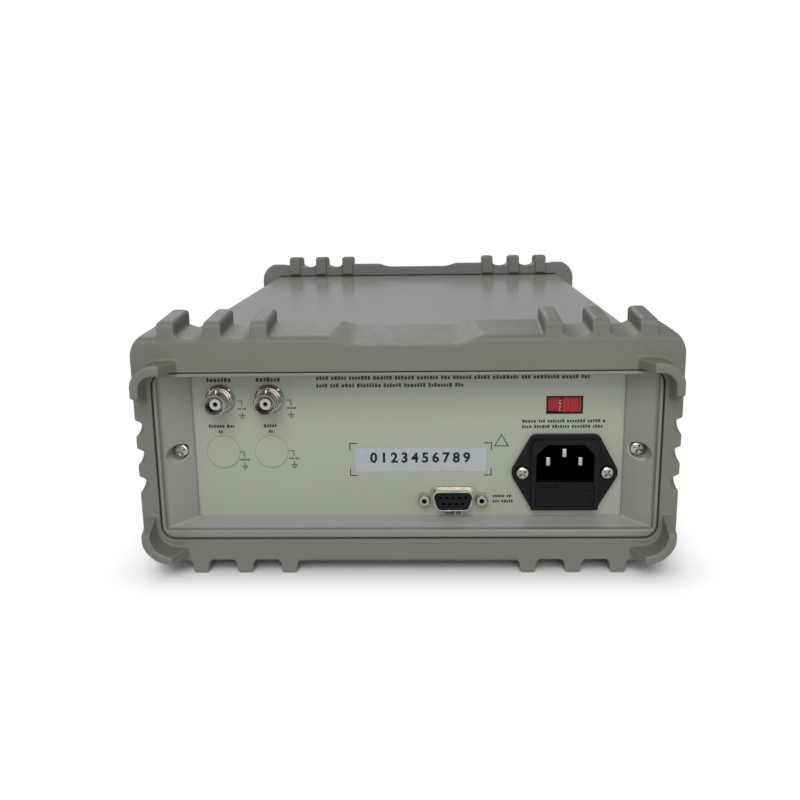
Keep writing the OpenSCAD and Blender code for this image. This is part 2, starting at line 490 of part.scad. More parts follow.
module standoffs() color([0.75, 0.65, 0.35]) for (p = board_holes) translate([p[0], p[1], cov_z0 + sheet]) difference() {
  linear_extrude(pcb_z - cov_z0 - sheet) hexo(6);
  translate([0, 0, -1]) cylinder(h = 20, r = 1.5);
}

// ---------- front controls ----------
sw_y = -150.0;                                   // front board, face towards the panel
key_back = fp_y + panel_t + 2.6;                 // back end of the key stems
module key_cap(x, z, w, h) {
  intersection() {
    xz(fp_y - 2.4, fp_y + panel_t + 1.1) translate([x, z]) rrect(w, h, 1.2);
    // dished and chamfered cap
    translate([x, 0, z]) yz(-w / 2 - 1, w / 2 + 1) polygon([[fp_y - 1.9, -h / 2], [fp_y - 2.4, -h / 2 + 0.6], [fp_y - 2.2, 0], [fp_y - 2.4, h / 2 - 0.6], [fp_y - 1.9, h / 2],
      [fp_y + panel_t + 2, h / 2], [fp_y + panel_t + 2, -h / 2]]);
  }
  xz(fp_y + panel_t + 0.1, fp_y + panel_t + 1.1) translate([x, z]) square([w + 1.6, h + 1.6], center = true);
  ycyl(x, z, 2, fp_y + panel_t + 1, key_back, 24);
}
module num_key(i, j) color([0.86, 0.87, 0.86]) key_cap(key_px[i], key_pz[j], key_w, key_h);
module soft_key(i) color([0.42, 0.45, 0.5]) key_cap(soft_px[i], soft_pz, soft_w, soft_h);
module key_7() num_key(0, 0);
module key_8() num_key(1, 0);
module key_9() num_key(2, 0);
module key_4() num_key(0, 1);
module key_5() num_key(1, 1);
module key_6() num_key(2, 1);
module key_1() num_key(0, 2);
module key_2() num_key(1, 2);
module key_3() num_key(2, 2);
module key_0() num_key(0, 3);
module key_point() num_key(1, 3);
module key_sign() num_key(2, 3);
module key_soft_1() soft_key(0);
module key_soft_2() soft_key(1);
module key_soft_3() soft_key(2);
module key_soft_4() soft_key(3);
module key_soft_5() soft_key(4);
module key_switches() color([0.15, 0.15, 0.16]) {
  for (x = key_px, z = key_pz) key_switch(x, z);
  for (x = soft_px) key_switch(x, soft_pz);
}
module key_switch(x, z) {
  xz(key_back + key_travel + 1.1, sw_y) translate([x, z]) square([6, 6], center = true);
  ycyl(x, z, 1.7, key_back + key_travel + 0.1, key_back + key_travel + 1.2, 24);
}
module power_button() color([0.3, 0.32, 0.36]) {
  xz(fp_y - 5.2, fp_y + 4) translate([power_x, power_z]) rrect(14, 9, 1.8);
  xz(fp_y + 4, -148.4 + 3) translate([power_x, power_z]) square([5, 4], center = true);
}
module power_switch() color([0.12, 0.12, 0.13]) difference() {
  box2([power_x - 8, sw_y + 1.7, power_z - 7], [power_x + 8, sw_y + 30, power_z + 7]);
  box2([power_x - 2.7, sw_y, power_z - 2.2], [power_x + 2.7, sw_y + 12, power_z + 2.2]);
}
module knob() color([0.2, 0.21, 0.23]) translate([knob_x, fp_y - 1.2, knob_z]) rotate([90, 0, 0]) difference() {
  union() {
    cylinder(h = 2.2, r = knob_d / 2 + 1, $fn = 96);
    translate([0, 0, 2.2]) linear_extrude(10) difference() {
      circle(knob_d / 2, $fn = 96);
      for (a = [0 : 15 : 345]) rotate(a) translate([knob_d / 2 + 0.45, 0]) circle(1.1, $fn = 16);
    }
    translate([0, 0, 12.2]) rotate_extrude($fn = 96) polygon([[0, 0], [knob_d / 2 - 0.9, 0], [knob_d / 2 - 1.2, 1.2], [knob_d / 2 - 2.4, 2.4], [0, 2.4]]);
  }
  translate([0, 0, 13.9]) cylinder(h = 2, r = knob_d / 2 - 4, $fn = 96);
  translate([0, knob_d / 2 - 8, 13.2]) cylinder(h = 3, r = 1.6);
  translate([0, 0, -1]) cylinder(h = 12, r = 3);
  translate([0, 0, -1]) cylinder(h = 4, r = 7.2);
}
module encoder_shaft() color([0.7, 0.7, 0.7]) ycyl(knob_x, knob_z, 3, fp_y - 1.2 - 11, fp_y + 6);
module encoder() color([0.5, 0.52, 0.5]) difference() {
  union() {
    box2([knob_x - 6.5, fp_y + 3.4, knob_z - 6.5], [knob_x + 6.5, sw_y, knob_z + 6.5]);
    ycyl(knob_x, knob_z, 3.5, fp_y - 4, fp_y + 4);
    xz(fp_y - 2.2, fp_y) translate([knob_x, knob_z]) hexo(10);
  }
  ycyl(knob_x, knob_z, 3.05, fp_y - 10, fp_y + 6.2);
}

// ---------- electronics ----------
module front_board() color([0.1, 0.35, 0.2]) difference() {
  box2([-92, sw_y, 21], [92, sw_y + 1.6, 83]);
  for (s = [-1, 1]) box2([s * 92 - 8, sw_y - 1, bezel_screw_z - 8], [s * 92 + 8, sw_y + 3, bezel_screw_z + 8]);
  xz(sw_y - 1, sw_y + 3) translate([power_x, power_z]) square([7, 6], center = true);
  for (p = fbncs) ycyl(p[0], p[1], 5, sw_y - 1, sw_y + 3);
}
module main_board() color([0.08, 0.32, 0.18]) difference() {
  box2([-34, -125, pcb_z], [84 + 4, 138, pcb_z + 1.6]);
  for (p = board_holes) translate([p[0], p[1], 0]) cylinder(h = 40, r = 1.6);
}
module chip(x, y, w, d, h) box2([x, y, pcb_z + 1.6], [x + w, y + d, pcb_z + 1.6 + h]);
module board_chips() color([0.12, 0.12, 0.13]) {
  chip(-10, -60, 24, 24, 2);
  chip(30, -60, 20, 20, 2);
  chip(30, -20, 14, 9, 2);
  chip(55, -20, 14, 9, 2);
  chip(-10, -15, 18, 12, 2.5);
  chip(0, 20, 14, 9, 2);
  chip(25, 20, 14, 9, 2);
  for (i = [0 : 3]) translate([-18 + 11 * i, 100, pcb_z + 1.6]) cylinder(h = 14, r = 4.6);
}
module heatsink() color([0.7, 0.71, 0.72]) {
  xz(60, 100) translate([50, pcb_z + 1.6]) {
    translate([-22, 0]) square([44, 3]);
    for (i = [0 : 7]) translate([-22 + i * 6, 0]) square([2, 26]);
  }
}
tr_x = -61;
tr_y = 60;
tr_z = cov_z0 + sheet + 28.2;
module transformer_core() color([0.3, 0.3, 0.32]) difference() {
  union() {
    box2([tr_x - 25.5, tr_y - 17, tr_z - 28], [tr_x + 25.5, tr_y + 17, tr_z + 28]);
    for (s = [-1, 1]) box2([tr_x - 18, tr_y + s * 17 - 10, tr_z - 28.2], [tr_x + 18, tr_y + s * 17 + 10, tr_z - 26]);
  }
  for (x = [-17, 8]) box2([tr_x + x, tr_y - 30, tr_z - 17], [tr_x + x + 9, tr_y + 30, tr_z + 17]);
}
module transformer_winding() color([0.75, 0.55, 0.15]) difference() {
  box2([tr_x - 16.9, tr_y - 27, tr_z - 16.9], [tr_x + 16.9, tr_y + 27, tr_z + 16.9]);
  box2([tr_x - 8.1, tr_y - 17.1, tr_z - 20], [tr_x + 8.1, tr_y + 17.1, tr_z + 20]);
}
module ribbon_cable() color([0.7, 0.7, 0.72]) yz(-10, 22)
  polygon([[-118, pcb_z + 1.6], [-112, pcb_z + 1.6], [-112, pcb_z + 7.6], [-126, pcb_z + 16], [-140, pcb_z + 22], [sw_y + 1.6, pcb_z + 22],
    [sw_y + 1.6, pcb_z + 17], [-141, pcb_z + 20.6], [-127, pcb_z + 14.6], [-118, pcb_z + 6.5]]);
module wire(a, b, r = 1.1) {
  d = b - a;
  l = norm(d);
  translate(a) rotate([0, acos(d[2] / l), atan2(d[1], d[0])]) cylinder(h = l, r = r, $fn = 20);
  translate(a) sphere(r * 1.3, $fn = 20);
  translate(b) sphere(r * 1.3, $fn = 20);
}
module mains_leads() color([0.35, 0.2, 0.12]) {
  for (i = [0, 1]) {
    wire([-inlet_x + (i == 0 ? -7 : 7), rp_y - 26.7, 43.3], [-inlet_x + (i == 0 ? -12 : 4), rp_y - 34, 66 + 3 * i]);
    wire([-inlet_x + (i == 0 ? -12 : 4), rp_y - 34, 66 + 3 * i], [power_x + 3 * i, rp_y - 60, 78 + 3 * i]);
    wire([power_x + 3 * i, rp_y - 60, 78 + 3 * i], [power_x + 3 * i, -90, 70]);
    wire([power_x + 3 * i, -90, 70], [power_x - 2 + 4 * i, sw_y + 31.7, power_z]);
  }
}

rear_guard();
front_guard();
rear_bezel();
front_bezel();
top_cover();
bottom_cover();
side_rails();
rear_panel();
front_panel();
serial_label();
display_window();
display_module();
bnc_bodies();
bnc_insulators();
bnc_contacts();
bnc_nuts();
hole_plugs();
voltage_selector();
voltage_slider();
inlet_body();
inlet_pins();
fuse_drawer();
fuses();
de9_shell();
de9_insulator();
de9_jackscrews();
panel_screws();
case_screws();
power_button();
power_switch();
knob();
encoder();
encoder_shaft();
main_board();
board_chips();
heatsink();
front_board();
key_switches();
transformer_core();
transformer_winding();
standoffs();
ribbon_cable();
mains_leads();
key_0();
key_1();
key_2();
key_3();
key_4();
key_5();
key_6();
key_7();
key_8();
key_9();
key_point();
key_sign();
key_soft_1();
key_soft_2();
key_soft_3();
key_soft_4();
key_soft_5();
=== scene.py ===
import bpy, bmesh, math, random
from mathutils import Vector, Matrix


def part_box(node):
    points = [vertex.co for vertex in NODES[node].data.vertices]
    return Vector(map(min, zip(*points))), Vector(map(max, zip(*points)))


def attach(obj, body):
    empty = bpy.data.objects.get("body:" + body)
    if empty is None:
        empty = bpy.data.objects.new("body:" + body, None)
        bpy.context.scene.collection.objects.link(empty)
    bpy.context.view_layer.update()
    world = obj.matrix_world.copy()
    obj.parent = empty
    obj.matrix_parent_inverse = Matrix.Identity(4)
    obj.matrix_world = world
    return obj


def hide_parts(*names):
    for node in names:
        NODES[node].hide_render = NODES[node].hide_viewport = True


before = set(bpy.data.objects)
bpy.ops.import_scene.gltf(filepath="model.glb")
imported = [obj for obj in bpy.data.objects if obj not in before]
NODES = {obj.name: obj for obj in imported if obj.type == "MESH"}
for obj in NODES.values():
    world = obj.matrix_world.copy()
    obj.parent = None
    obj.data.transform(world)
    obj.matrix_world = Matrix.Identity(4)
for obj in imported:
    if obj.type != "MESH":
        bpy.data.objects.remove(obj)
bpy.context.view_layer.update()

MM = 0.001
KEYS = ["key_%d" % i for i in range(10)] + ["key_point", "key_sign"]
SOFTS = ["key_soft_%d" % i for i in range(1, 6)]

# key heights read from the frame itself
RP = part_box("rear_panel")[1].y           # rear panel, outer face
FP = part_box("front_panel")[0].y          # front panel, outer face
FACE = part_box("rear_bezel")[1].y + 0.001 # guard's outer face


# ------------------------------------------------------------------ materials
def lin(r, g, b):
    f = lambda c: ((c / 255 + 0.055) / 1.055) ** 2.4 if c > 10 else c / 255 / 12.92
    return (f(r), f(g), f(b), 1.0)


class Mat:
    """A Principled material with its node tree at hand."""
    def __init__(self, name):
        self.m = bpy.data.materials.new(name)
        self.m.use_nodes = True
        self.nt = self.m.node_tree
        self.b = self.nt.nodes["Principled BSDF"]
        self.co = self.nt.nodes.new("ShaderNodeTexCoord").outputs["Object"]

    def n(self, kind, **kw):
        node = self.nt.nodes.new(kind)
        for k, v in kw.items():
            setattr(node, k, v)
        return node

    def link(self, a, b):
        self.nt.links.new(a, b)

    def noise(self, scale, detail=3.0, rough=0.5, stretch=None):
        t = self.n("ShaderNodeTexNoise")
        t.inputs["Scale"].default_value = scale
        t.inputs["Detail"].default_value = detail
        t.inputs["Roughness"].default_value = rough
        co = self.co
        if stretch:
            mp = self.n("ShaderNodeMapping")
            mp.inputs["Scale"].default_value = stretch
            self.link(self.co, mp.inputs["Vector"])
            co = mp.outputs["Vector"]
        self.link(co, t.inputs["Vector"])
        return t.outputs["Fac"]

    def voronoi(self, scale, feature="F1"):
        t = self.n("ShaderNodeTexVoronoi", feature=feature)
        t.inputs["Scale"].default_value = scale
        self.link(self.co, t.inputs["Vector"])
        return t.outputs["Distance"]

    def ramp(self, fac, stops):
        r = self.n("ShaderNodeValToRGB")
        el = r.color_ramp.elements
        while len(el) < len(stops):
            el.new(0.5)
        for e, (p, c) in zip(el, stops):
            e.position = p
            e.color = c if len(c) == 4 else (*c, 1)
        self.link(fac, r.inputs["Fac"])
        return r.outputs["Color"]

    def rng(self, fac, lo, hi, a=0.3, b=0.7):
        r = self.n("ShaderNodeMapRange")
        r.inputs["From Min"].default_value = a
        r.inputs["From Max"].default_value = b
        r.inputs["To Min"].default_value = lo
        r.inputs["To Max"].default_value = hi
        self.link(fac, r.inputs["Value"])
        return r.outputs["Result"]

    def mix(self, fac, a, b, kind="MIX"):
        x = self.n("ShaderNodeMix", data_type="RGBA", blend_type=kind)
        fs = x.inputs[0]
        cs = [i for i in x.inputs if i.type == "RGBA"]
        for s, v in ((fs, fac), (cs[0], a), (cs[1], b)):
            if hasattr(v, "links") or hasattr(v, "is_output"):
                self.link(v, s)
            else:
                s.default_value = v
        return [o for o in x.outputs if o.type == "RGBA"][0]

    def add(self, a, b, ka=1.0, kb=1.0):
        m1 = self.n("ShaderNodeMath", operation="MULTIPLY")
        self.link(a, m1.inputs[0]); m1.inputs[1].default_value = ka
        m2 = self.n("ShaderNodeMath", operation="MULTIPLY_ADD")
        self.link(b, m2.inputs[0]); m2.inputs[1].default_value = kb
        self.link(m1.outputs[0], m2.inputs[2])
        return m2.outputs[0]

    def bump(self, height, strength, dist):
        bp = self.n("ShaderNodeBump")
        bp.inputs["Strength"].default_value = strength
        bp.inputs["Distance"].default_value = dist
        self.link(height, bp.inputs["Height"])
        self.link(bp.outputs["Normal"], self.b.inputs["Normal"])
        return bp

    def set(self, **kw):
        for k, v in kw.items():
            s = self.b.inputs[k.replace("_", " ")]
            if hasattr(v, "is_output"):
                self.link(v, s)
            else:
                s.default_value = v
        return self


def tint(c, k):
    return (min(c[0] * k, 1), min(c[1] * k, 1), min(c[2] * k, 1), 1)


def moulded(name, base, rough=0.45, grain=2600, grain_h=0.00003, var=0.05, edge_wear_and_highlight=0.0, coat=0.0, spec=0.5, rim_shade=None, up_face_light=0.0):
    """Moulded plastic: faint flow variation, fine spark-eroded grain, edges lightened partly as worn edges and partly
    as painted highlight; optional painted light on up-facing surfaces and optional painted shade on an outer rim.
    """
    m = Mat(name)
    big = m.noise(26, 3, 0.55)
    small = m.noise(420, 4, 0.6)
    col = m.ramp(big, [(0.30, tint(base, 1 - var)), (0.52, base), (0.75, tint(base, 1 + var))])
    col = m.mix(m.rng(small, 0.0, 0.10), col, tint(base, 0.72))
    # partly wear, partly painted highlight: edges found by pointiness are lightened as rubbed edges and as light
    # catching them
    if edge_wear_and_highlight:
        g = m.n("ShaderNodeNewGeometry")
        edge = m.rng(g.outputs["Pointiness"], 0.0, edge_wear_and_highlight, 0.505, 0.56)
        col = m.mix(edge, col, tint(base, 1.35))
    if up_face_light:
        # painted light: surfaces that face up are lightened, as if lit from above
        g2 = m.n("ShaderNodeNewGeometry")
        nz = m.n("ShaderNodeSeparateXYZ")
        m.link(g2.outputs["Normal"], nz.inputs[0])
        col = m.mix(m.rng(nz.outputs["Z"], 0.0, 1.0, 0.3, 0.9), col, tint(base, 1 + up_face_light))
    if rim_shade:
        # painted shade: the outer rim, between the first two given distances in metres from the middle, is darkened by
        # the third factor
        xyz = m.n("ShaderNodeSeparateXYZ")
        m.link(m.co, xyz.inputs[0])
        ay = m.n("ShaderNodeMath", operation="ABSOLUTE")
        m.link(xyz.outputs["Y"], ay.inputs[0])
        col = m.mix(m.rng(ay.outputs[0], 0.0, 1.0, rim_shade[0], rim_shade[1]), col, tint(base, rim_shade[2]))
    m.set(Base_Color=col, Roughness=m.add(m.rng(small, rough - 0.05, rough + 0.07), m.rng(big, -0.03, 0.05)))
    m.b.inputs["Specular IOR Level"].default_value = spec
    if coat:
        m.b.inputs["Coat Weight"].default_value = coat
        m.b.inputs["Coat Roughness"].default_value = 0.25
    fine = m.add(m.noise(grain, 2, 0.6), m.voronoi(grain * 0.6), 0.7, 0.5)
    m.bump(fine, 0.55, grain_h)
    return m.m


def painted(name, base, rough=0.35, peel=700, peel_h=0.00003, var=0.03, metallic=0.0, coat=0.15, fleck=0.05):
    """Stove paint on sheet metal: orange peel, faint mottling."""
    m = Mat(name)
    big = m.noise(14, 2, 0.5)
    mid = m.noise(150, 3, 0.6)
    fine = m.noise(2400, 2, 0.5)
    col = m.ramp(big, [(0.3, tint(base, 1 - var)), (0.7, tint(base, 1 + var))])
    col = m.mix(m.rng(fine, 0.0, fleck, 0.35, 0.75), col, tint(base, 0.6))
    m.set(Base_Color=col, Roughness=m.add(m.rng(mid, rough - 0.04, rough + 0.05), m.rng(fine, -0.02, 0.02)), Metallic=metallic)
    m.b.inputs["Coat Weight"].default_value = coat
    m.b.inputs["Coat Roughness"].default_value = 0.18
    m.bump(m.add(m.noise(peel, 2, 0.4), fine, 1.0, 0.25), 0.35, peel_h)
    return m.m


def metal(name, base, rough=0.25, aniso=None, tarnish=0.25, scratch=0.3, recess_shade=0.0):
    """Plated or plain metal with tarnish, fine turning marks and painted shade in its recesses."""
    m = Mat(name)
    big = m.noise(180, 4, 0.6)
    fine = m.noise(1800, 3, 0.6, stretch=aniso)
    col = m.ramp(big, [(0.32, tint(base, 1 - tarnish)), (0.6, base), (0.8, tint(base, 1.08))])
    if recess_shade:
        # painted shade: the colour darkens where ambient occlusion finds a recess
        ao = m.n("ShaderNodeAmbientOcclusion")
        ao.samples = 4
        ao.inputs["Distance"].default_value = 0.0011
        col = m.mix(m.rng(ao.outputs["AO"], recess_shade, 0.0, 0.25, 0.75), col, tint(base, 0.06))
    m.set(Base_Color=col, Metallic=1.0, Roughness=m.add(m.rng(fine, rough - 0.06, rough + 0.10), m.rng(big, -0.04, 0.06)))
    m.bump(fine, scratch, 0.00001)
    return m.m


def gloss(name, base, rough=0.16, var=0.06, coat=0.4):
    m = Mat(name)
    big = m.noise(220, 3, 0.5)
    fine = m.noise(2600, 2, 0.5)
    m.set(Base_Color=m.ramp(big, [(0.3, tint(base, 1 - var)), (0.7, tint(base, 1 + var))]), Roughness=m.rng(fine, rough - 0.04, rough + 0.10))
    m.b.inputs["Coat Weight"].default_value = coat
    m.bump(fine, 0.15, 0.00001)
    return m.m


def see_through(name, base, alpha, rough=0.06):
    m = Mat(name)
    big = m.noise(60, 2, 0.5)
    m.set(Base_Color=m.ramp(big, [(0.3, tint(base, 0.92)), (0.7, base)]), Roughness=m.rng(m.noise(900, 3), rough, rough + 0.05), Alpha=alpha)
    m.b.inputs["IOR"].default_value = 1.49
    m.b.inputs["Coat Weight"].default_value = 0.5
    return m.m


def board(name, base):
    """Circuit board: solder resist over a faint pattern of tracks."""
    m = Mat(name)
    br = m.n("ShaderNodeTexBrick")
    br.inputs["Scale"].default_value = 130
    br.inputs["Color1"].default_value = base
    br.inputs["Color2"].default_value = tint(base, 1.25)
    br.inputs["Mortar"].default_value = tint(base, 1.9)
    br.inputs["Mortar Size"].default_value = 0.03
    m.link(m.co, br.inputs["Vector"])
    fine = m.noise(1500, 2)
    m.set(Base_Color=m.mix(m.rng(m.noise(60, 3), 0.0, 0.5), br.outputs["Color"], tint(base, 0.8)), Roughness=m.rng(fine, 0.25, 0.4))
    m.bump(br.outputs["Fac"], 0.2, 0.00003)
    return m.m


def glow(name, base, strength):
    m = Mat(name)
    fine = m.noise(1300, 1)
    col = m.ramp(fine, [(0.3, tint(base, 0.85)), (0.7, base)])
    m.set(Base_Color=col, Roughness=m.rng(fine, 0.3, 0.45))
    m.link(col, m.b.inputs["Emission Color"])
    m.b.inputs["Emission Strength"].default_value = strength
    return m.m


# the edge lightening in these moulded materials is partly wear and partly painted highlight
GUARD = moulded("guard_plastic", (0.158, 0.164, 0.138, 1), rough=0.47, grain=2100, grain_h=0.00004, var=0.035, edge_wear_and_highlight=0.45, spec=0.28)
# the bezel's up-facing surfaces carry painted light, and its outer rim near the face carries painted shade
BEZEL = moulded("bezel_plastic", (0.312, 0.320, 0.298, 1), rough=0.36, grain=3200, grain_h=0.00002, var=0.02, edge_wear_and_highlight=0.45, spec=0.5, rim_shade=(0.1705, 0.1722, 0.64), up_face_light=0.25)
COVER = painted("cover_paint", (0.245, 0.250, 0.240, 1), rough=0.17, peel=420, peel_h=0.000004, var=0.015, coat=0.12, fleck=0.0)
PANEL = painted("panel_paint", (0.325, 0.350, 0.283, 1), rough=0.40, peel=1300, peel_h=0.00001, var=0.025, coat=0.05, fleck=0.03)
FPANEL = painted("front_panel_paint", (0.33, 0.345, 0.325, 1), rough=0.40, peel=1300, peel_h=0.00001, var=0.02, coat=0.05, fleck=0.03)
ALU = metal("rail_aluminium", (0.66, 0.67, 0.68, 1), rough=0.34, aniso=(1, 0.05, 1))
LABEL = painted("label_film", (0.365, 0.395, 0.415, 1), rough=0.28, peel=500, peel_h=0.000004, var=0.012, coat=0.1, fleck=0.01)
BLACK = moulded("black_plastic", (0.0055, 0.0055, 0.0065, 1), rough=0.42, grain=1500, grain_h=0.00005, var=0.2, edge_wear_and_highlight=0.9, spec=0.15)
# NICKEL, SHELLM and SCREW carry painted shade in their recesses
NICKEL = metal("nickel", (0.60, 0.55, 0.48, 1), rough=0.17, tarnish=0.35, recess_shade=0.5)
SHELLM = metal("shell_nickel", (0.60, 0.56, 0.49, 1), rough=0.22, tarnish=0.3, recess_shade=0.5)
SCREW = metal("screw_nickel", (0.66, 0.62, 0.57, 1), rough=0.20, tarnish=0.3, recess_shade=0.9)
PIN = metal("pin_nickel", (0.56, 0.56, 0.57, 1), rough=0.36, tarnish=0.1)
WHITE = moulded("white_plastic", (0.46, 0.46, 0.46, 1), rough=0.30, grain=3000, grain_h=0.00001, var=0.03)
# painted shade: the brass is darkened so the recessed contacts read as the dark hole they sit in
SHADED_BRASS = metal("gold_brass", (0.16, 0.14, 0.10, 1), rough=0.30)
RED = moulded("red_plastic", (0.37, 0.022, 0.019, 1), rough=0.36, grain=3000, grain_h=0.00001, var=0.10, spec=0.3)
GLASS = see_through("display_glass", (0.02, 0.03, 0.04, 1), 0.30)
FUSEG = see_through("fuse_glass", (0.6, 0.65, 0.65, 1), 0.45)
DARKKEY = moulded("dark_key", (0.040, 0.045, 0.055, 1), rough=0.35, grain=2600, grain_h=0.00002, var=0.08)
KNOBM = moulded("knob_rubber", (0.022, 0.024, 0.027, 1), rough=0.50, grain=2400, grain_h=0.00004, var=0.12, edge_wear_and_highlight=0.4)
KEYM = moulded("key_plastic", (0.50, 0.51, 0.485, 1), rough=0.44, grain=2600, grain_h=0.00002, var=0.03)
SOFTM = moulded("soft_key_plastic", (0.085, 0.105, 0.145, 1), rough=0.42, grain=2600, grain_h=0.00002, var=0.06)
BOARD = board("board_green", (0.02, 0.11, 0.045, 1))
CORE = painted("core_iron", (0.07, 0.07, 0.075, 1), rough=0.45, peel=400, peel_h=0.00006, var=0.15)
WIND = moulded("winding_tape", (0.50, 0.32, 0.05, 1), rough=0.35, grain=900, grain_h=0.00004, var=0.08)
CABLE = moulded("cable_grey", (0.36, 0.36, 0.38, 1), rough=0.4, grain=1500, grain_h=0.00003, var=0.05)
LEAD = moulded("cable_brown", (0.14, 0.06, 0.03, 1), rough=0.35, grain=1500, grain_h=0.00002, var=0.1)
INK = moulded("ink_dark", (0.018, 0.019, 0.018, 1), rough=0.5, grain=3500, grain_h=0.00001, var=0.2)
INKB = moulded("ink_black", (0.008, 0.009, 0.010, 1), rough=0.45, grain=3500, grain_h=0.00001, var=0.2, spec=0.2)
INKG = moulded("ink_grey", (0.13, 0.14, 0.125, 1), rough=0.5, grain=3500, grain_h=0.00001, var=0.2)
INKW = moulded("ink_white", (0.66, 0.66, 0.66, 1), rough=0.5, grain=3500, grain_h=0.00001, var=0.1)
SCREEN = glow("screen_dark", (0.006, 0.03, 0.075, 1), 0.5)
TRACE = glow("screen_trace", (0.20, 0.85, 0.75, 1), 1.2)
TRACE2 = glow("screen_mark", (0.9, 0.75, 0.2, 1), 1.0)

NODE_MAT = {
    "top_cover": COVER, "bottom_cover": COVER, "side_rails": ALU, "rear_panel": PANEL, "front_panel": FPANEL,
    "serial_label": LABEL, "display_window": GLASS, "display_module": BLACK, "bnc_bodies": NICKEL, "bnc_insulators": WHITE,
    "bnc_contacts": SHADED_BRASS, "bnc_nuts": NICKEL, "hole_plugs": PANEL, "voltage_selector": BLACK, "voltage_slider": RED,
    "inlet_body": BLACK, "inlet_pins": PIN, "fuse_drawer": BLACK, "fuses": FUSEG, "de9_shell": SHELLM, "de9_insulator": BLACK,
    "de9_jackscrews": SHELLM, "panel_screws": SCREW, "case_screws": SCREW, "power_button": DARKKEY, "power_switch": BLACK,
    "knob": KNOBM, "encoder": ALU, "encoder_shaft": ALU, "main_board": BOARD, "board_chips": BLACK, "heatsink": ALU,
    "front_board": BOARD, "key_switches": BLACK, "transformer_core": CORE, "transformer_winding": WIND, "standoffs": SHADED_BRASS,
    "ribbon_cable": CABLE, "mains_leads": LEAD, "rear_guard": GUARD, "front_guard": GUARD, "rear_bezel": BEZEL, "front_bezel": BEZEL,
}
for k in KEYS:
    NODE_MAT[k] = KEYM
for k in SOFTS:
    NODE_MAT[k] = SOFTM

BEVEL = {"top_cover": 0.25, "bottom_cover": 0.2, "rear_panel": 0.15, "front_panel": 0.25, "serial_label": 0, "display_window": 0.3,
         "bnc_bodies": 0.15, "bnc_nuts": 0.18, "bnc_insulators": 0.15, "hole_plugs": 0.35, "voltage_selector": 0.12, "voltage_slider": 0.22,
         "inlet_body": 0.35, "inlet_pins": 0.4, "fuse_drawer": 0.3, "de9_shell": 0.16, "de9_insulator": 0.1, "de9_jackscrews": 0.22,
         "panel_screws": 0.12, "case_screws": 0.12, "power_button": 0.6, "knob": 0.3, "side_rails": 0.2, "heatsink": 0.15}
for k in KEYS + SOFTS:
    BEVEL[k] = 0.45


def dress(name):
    """Gives a CAD node its material, rounded edges and clean shading. Its own vertices stay as they are."""
    o = NODES[name]
    me = o.data
    me.materials.clear()
    me.materials.append(NODE_MAT[name])
    if "custom_normal" in me.attributes:
        me.attributes.remove(me.attributes["custom_normal"])
    for p in me.polygons:
        p.use_smooth = True
        p.material_index = 0
    w = o.modifiers.new("weld", "WELD")
    w.merge_threshold = 3e-6
    d = o.modifiers.new("flat", "DECIMATE")
    d.decimate_type = "DISSOLVE"
    d.angle_limit = math.radians(0.5)
    width = BEVEL.get(name, 0.1)
    if width:
        b = o.modifiers.new("edge", "BEVEL")
        b.width = width * MM
        b.segments = 2
        b.limit_method = "ANGLE"
        b.angle_limit = math.radians(34)
        b.use_clamp_overlap = True
        b.miter_outer = "MITER_ARC"
    nrm = o.modifiers.new("nrm", "WEIGHTED_NORMAL")
    nrm.weight = 90
    nrm.keep_sharp = True


def mesh_obj(name, me, mat, body):
    o = bpy.data.objects.new(name, me)
    bpy.context.scene.collection.objects.link(o)
    if mat is not None:
        me.materials.clear()
        me.materials.append(mat)
    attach(o, body)
    return o


def soften(node, piece, voxel, iters, mat, body="case", limit=190000):
    """A closed, evenly rounded mesh of a moulded node: its solid is resampled, then its edges are relaxed as a mould's radii are."""
    src = NODES[node]
    tmp = bpy.data.objects.new("tmp_" + node, src.data.copy())
    bpy.context.scene.collection.objects.link(tmp)
    w = tmp.modifiers.new("weld", "WELD")
    w.merge_threshold = 3e-6
    r = tmp.modifiers.new("vox", "REMESH")
    r.mode = "VOXEL"
    r.voxel_size = voxel * MM
    r.use_smooth_shade = True
    s = tmp.modifiers.new("sm", "SMOOTH")
    s.factor = 0.5
    s.iterations = iters
    bpy.context.view_layer.update()
    dg = bpy.context.evaluated_depsgraph_get()
    me = bpy.data.meshes.new_from_object(tmp.evaluated_get(dg))
    n = 2 * len(me.polygons)
    if n > limit:
        tmp2 = bpy.data.objects.new("tmp2_" + node, me)
        bpy.context.scene.collection.objects.link(tmp2)
        d = tmp2.modifiers.new("dec", "DECIMATE")
        d.ratio = limit / n
        bpy.context.view_layer.update()
        dg = bpy.context.evaluated_depsgraph_get()
        me2 = bpy.data.meshes.new_from_object(tmp2.evaluated_get(dg))
        bpy.data.objects.remove(tmp2)
        bpy.data.meshes.remove(me)
        me = me2
    bpy.data.objects.remove(tmp)
    me.name = piece
    for p in me.polygons:
        p.use_smooth = True
        p.material_index = 0
    print("soften", node, n, "->", len(me.polygons))
    o = mesh_obj(piece, me, mat, body)
    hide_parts(node)
    return o


for name in NODES:
    if name not in ("rear_guard", "front_guard", "rear_bezel", "front_bezel"):
        dress(name)
V = 0.55
IT = 3
soften("rear_guard", "rear_guard_moulding", V, IT, GUARD)
soften("front_guard", "front_guard_moulding", V, IT, GUARD)
soften("rear_bezel", "rear_bezel_moulding", V * 0.8, IT, BEZEL)
soften("front_bezel", "front_bezel_moulding", V * 0.8, IT, BEZEL)


